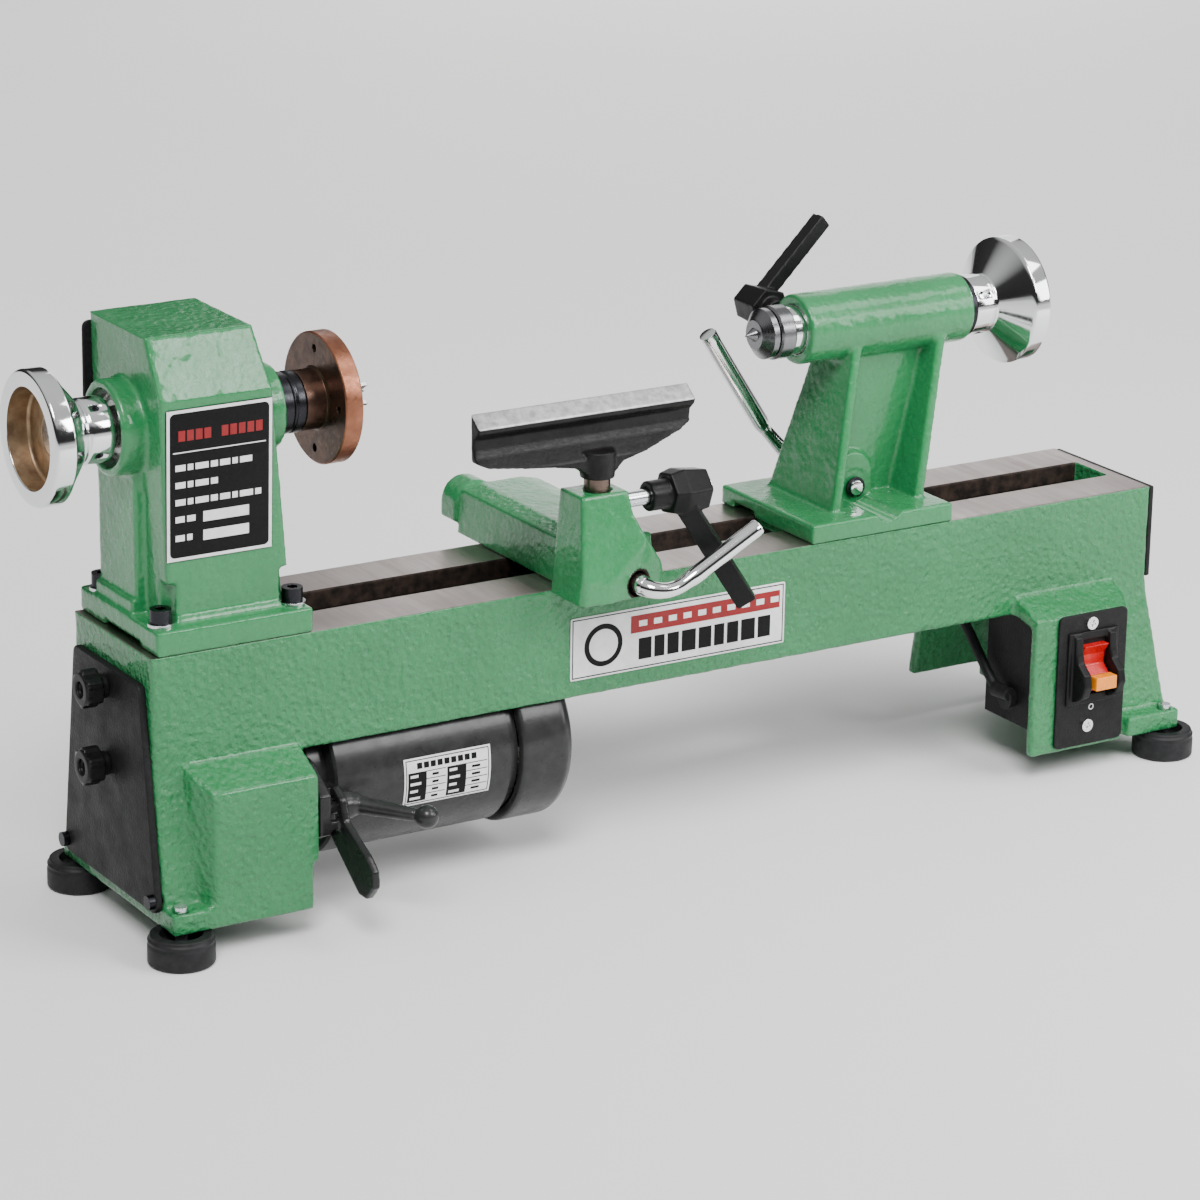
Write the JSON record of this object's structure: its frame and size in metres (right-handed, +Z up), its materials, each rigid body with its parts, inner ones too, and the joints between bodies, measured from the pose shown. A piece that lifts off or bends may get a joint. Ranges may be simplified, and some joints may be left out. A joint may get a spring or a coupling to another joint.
{
  "type": "bench wood lathe",
  "caption": "Cast bench wood lathe with a belt-drive headstock, faceplate and spur centre, sliding tool rest, and a tailstock with handwheel and live centre.",
  "frame": {"origin": "on the bench plane under the feet, at the middle of the outline seen from above", "axes": "+X along the bed from headstock to tailstock, +Y to the back, +Z up"},
  "size_m": [0.8214, 0.213, 0.373],
  "materials": {
    "green_enamel": "gloss hammered enamel",
    "black_paint": "satin black",
    "black_oxide": "black oxide",
    "cast_black": "rough black",
    "foot_rubber": "matt",
    "zinc_steel": "zinc plated",
    "machined_steel": "machined",
    "chrome_plate": "polished",
    "bronzed_steel": "copper-toned oxide",
    "pulley_alloy": "cast and turned",
    "belt_rubber": "fabric-faced",
    "black_plastic": "fine texture",
    "printed_plate": "printed black with white rules",
    "label_plate": "printed",
    "badge_plate": "printed sheet",
    "red_plastic": "gloss",
    "yellow_plastic": "gloss",
    "lead_sheath": "smooth"
  },
  "bodies": {
    "base": {"bed": "green_enamel", "bed_end_plate": "black_paint", "feet": "foot_rubber", "foot_bolts": "zinc_steel", "left_cover": "black_paint", "left_cover_screws": "black_oxide", "headstock": "green_enamel", "headstock_screws": "black_oxide", "headstock_washers": "zinc_steel", "nameplate": "printed_plate", "spindle_bearings": "machined_steel", "rear_cover": "black_paint", "drive_belt": "belt_rubber", "motor_pivot": "zinc_steel", "switch_box": "black_paint", "switch_plate": "black_plastic", "plate_screws": "zinc_steel", "switch_guard": "black_plastic", "motor_lead": "lead_sheath", "lead_clip": "zinc_steel", "bed_badge": "badge_plate"},
    "upper_cover_knob": {"cover_knob_upper": "black_plastic"},
    "lower_cover_knob": {"cover_knob_lower": "black_plastic"},
    "back_cover_knob": {"rear_knob": "black_plastic"},
    "spindle_set": {"spindle": "machined_steel", "spindle_pulley": "pulley_alloy", "spindle_collar": "black_oxide", "handwheel": "chrome_plate", "faceplate": "bronzed_steel", "spur_centre": "machined_steel"},
    "motor": {"motor_plate": "black_paint", "motor_body": "black_paint", "motor_cowl": "black_paint", "motor_label": "label_plate"},
    "rotor": {"motor_shaft": "machined_steel", "motor_pulley": "pulley_alloy"},
    "motor_lock_lever": {"motor_lock": "black_paint"},
    "rest_carriage": {"rest_shoe": "cast_black"},
    "rest_clamp_bolt": {"rest_bolt": "machined_steel"},
    "banjo_body": {"banjo": "green_enamel"},
    "rest_eccentric": {"rest_cam": "chrome_plate"},
    "post": {"rest_post": "machined_steel"},
    "rest_blade": {"tool_rest": "cast_black"},
    "rest_lock_handle": {"rest_lock": "black_plastic", "rest_lock_stud": "zinc_steel"},
    "tailstock_body": {"tailstock": "green_enamel", "tail_shoe": "cast_black", "tail_bolt": "machined_steel", "screw_retainer": "black_oxide"},
    "tail_eccentric": {"tail_cam": "chrome_plate", "cam_clip": "black_oxide"},
    "quill_set": {"quill": "machined_steel", "live_body": "black_oxide"},
    "live_point": {"live_nose": "black_oxide"},
    "feed": {"feed_screw": "machined_steel", "tail_wheel": "chrome_plate"},
    "quill_lock_handle": {"quill_lock": "black_plastic"},
    "paddle": {"switch_paddle": "red_plastic"},
    "key": {"switch_key": "yellow_plastic"}
  },
  "joints": [
    {"name": "upper_knob_turn", "type": "hinge", "parent": "base", "child": "upper_cover_knob", "pos_m": [-0.3758, 0.0085, 0.155], "axis": [1, 0, 0], "continuous": true},
    {"name": "lower_knob_turn", "type": "hinge", "parent": "base", "child": "lower_cover_knob", "pos_m": [-0.3758, 0.0085, 0.106], "axis": [1, 0, 0], "continuous": true},
    {"name": "back_knob_turn", "type": "hinge", "parent": "base", "child": "back_cover_knob", "pos_m": [-0.3128, 0.0685, 0.358], "axis": [0, 1, 0], "continuous": true},
    {"name": "motor_spin", "type": "hinge", "parent": "motor", "child": "rotor", "pos_m": [-0.2888, 0.0085, 0.08], "axis": [1, 0, 0], "continuous": true},
    {"name": "spindle_spin", "type": "hinge", "parent": "base", "child": "spindle_set", "pos_m": [-0.2988, 0.0085, 0.314], "axis": [1, 0, 0], "continuous": true},
    {"name": "motor_swing", "type": "hinge", "parent": "base", "child": "motor", "pos_m": [-0.2558, 0.0605, 0.08], "axis": [-1, 0, 0], "range_deg": [0, 4]},
    {"name": "motor_lock_turn", "type": "hinge", "parent": "base", "child": "motor_lock_lever", "pos_m": [-0.2338, -0.0555, 0.076], "axis": [1, 0, 0], "range_deg": [-60, 30]},
    {"name": "rest_travel", "type": "slide", "parent": "base", "child": "rest_carriage", "axis": [1, 0, 0], "range_m": [-0.055, 0.01]},
    {"name": "rest_slew", "type": "hinge", "parent": "rest_carriage", "child": "rest_clamp_bolt", "pos_m": [-0.0468, 0.0085, 0.186], "axis": [0, 0, 1], "range_deg": [-15, 8]},
    {"name": "rest_reach", "type": "slide", "parent": "rest_clamp_bolt", "child": "banjo_body", "axis": [0, 1, 0], "range_m": [-0.02, 0.005]},
    {"name": "rest_eccentric_turn", "type": "hinge", "parent": "banjo_body", "child": "rest_eccentric", "pos_m": [-0.0468, -0.0515, 0.1948], "axis": [0, 1, 0], "range_deg": [-60, 10]},
    {"name": "post_lift", "type": "slide", "parent": "banjo_body", "child": "post", "axis": [0, 0, 1], "range_m": [-0.006, 0.02]},
    {"name": "rest_swivel", "type": "hinge", "parent": "post", "child": "rest_blade", "pos_m": [-0.0658, -0.0625, 0.266], "axis": [0, 0, 1], "range_deg": [-35, 35]},
    {"name": "rest_lock_turn", "type": "hinge", "parent": "banjo_body", "child": "rest_lock_handle", "pos_m": [-0.0088, -0.0625, 0.243], "axis": [1, 0, 0], "range_deg": [-12, 6]},
    {"name": "tail_travel", "type": "slide", "parent": "base", "child": "tailstock_body", "axis": [1, 0, 0], "range_m": [-0.01, 0.09]},
    {"name": "tail_eccentric_turn", "type": "hinge", "parent": "tailstock_body", "child": "tail_eccentric", "pos_m": [0.1672, 0.0085, 0.206], "axis": [0, 1, 0], "range_deg": [-30, 60]},
    {"name": "feed_turn", "type": "hinge", "parent": "tailstock_body", "child": "feed", "pos_m": [0.2612, 0.0085, 0.314], "axis": [-1, 0, 0], "range_deg": [0, 2880]},
    {"name": "quill_slide", "type": "slide", "parent": "tailstock_body", "child": "quill_set", "axis": [-1, 0, 0], "range_m": [0, 0.0401]},
    {"name": "live_point_spin", "type": "hinge", "parent": "quill_set", "child": "live_point", "pos_m": [0.1012, 0.0085, 0.314], "axis": [1, 0, 0], "continuous": true},
    {"name": "quill_lock_turn", "type": "hinge", "parent": "tailstock_body", "child": "quill_lock_handle", "pos_m": [0.1292, 0.0585, 0.319], "axis": [0, 1, 0], "range_deg": [-60, 60]},
    {"name": "paddle_rock", "type": "hinge", "parent": "base", "child": "paddle", "pos_m": [0.3177, -0.0595, 0.079], "axis": [-1, 0, 0], "range_deg": [0, 10]},
    {"name": "key_pull", "type": "slide", "parent": "paddle", "child": "key", "axis": [0, -1, 0], "range_m": [0, 0.015]}
  ],
  "couplings": [
    {"joint": "spindle_spin", "follows": "motor_spin", "ratio": 1},
    {"joint": "quill_slide", "follows": "feed_turn", "m_per_rad": 0.00079577}
  ]
}
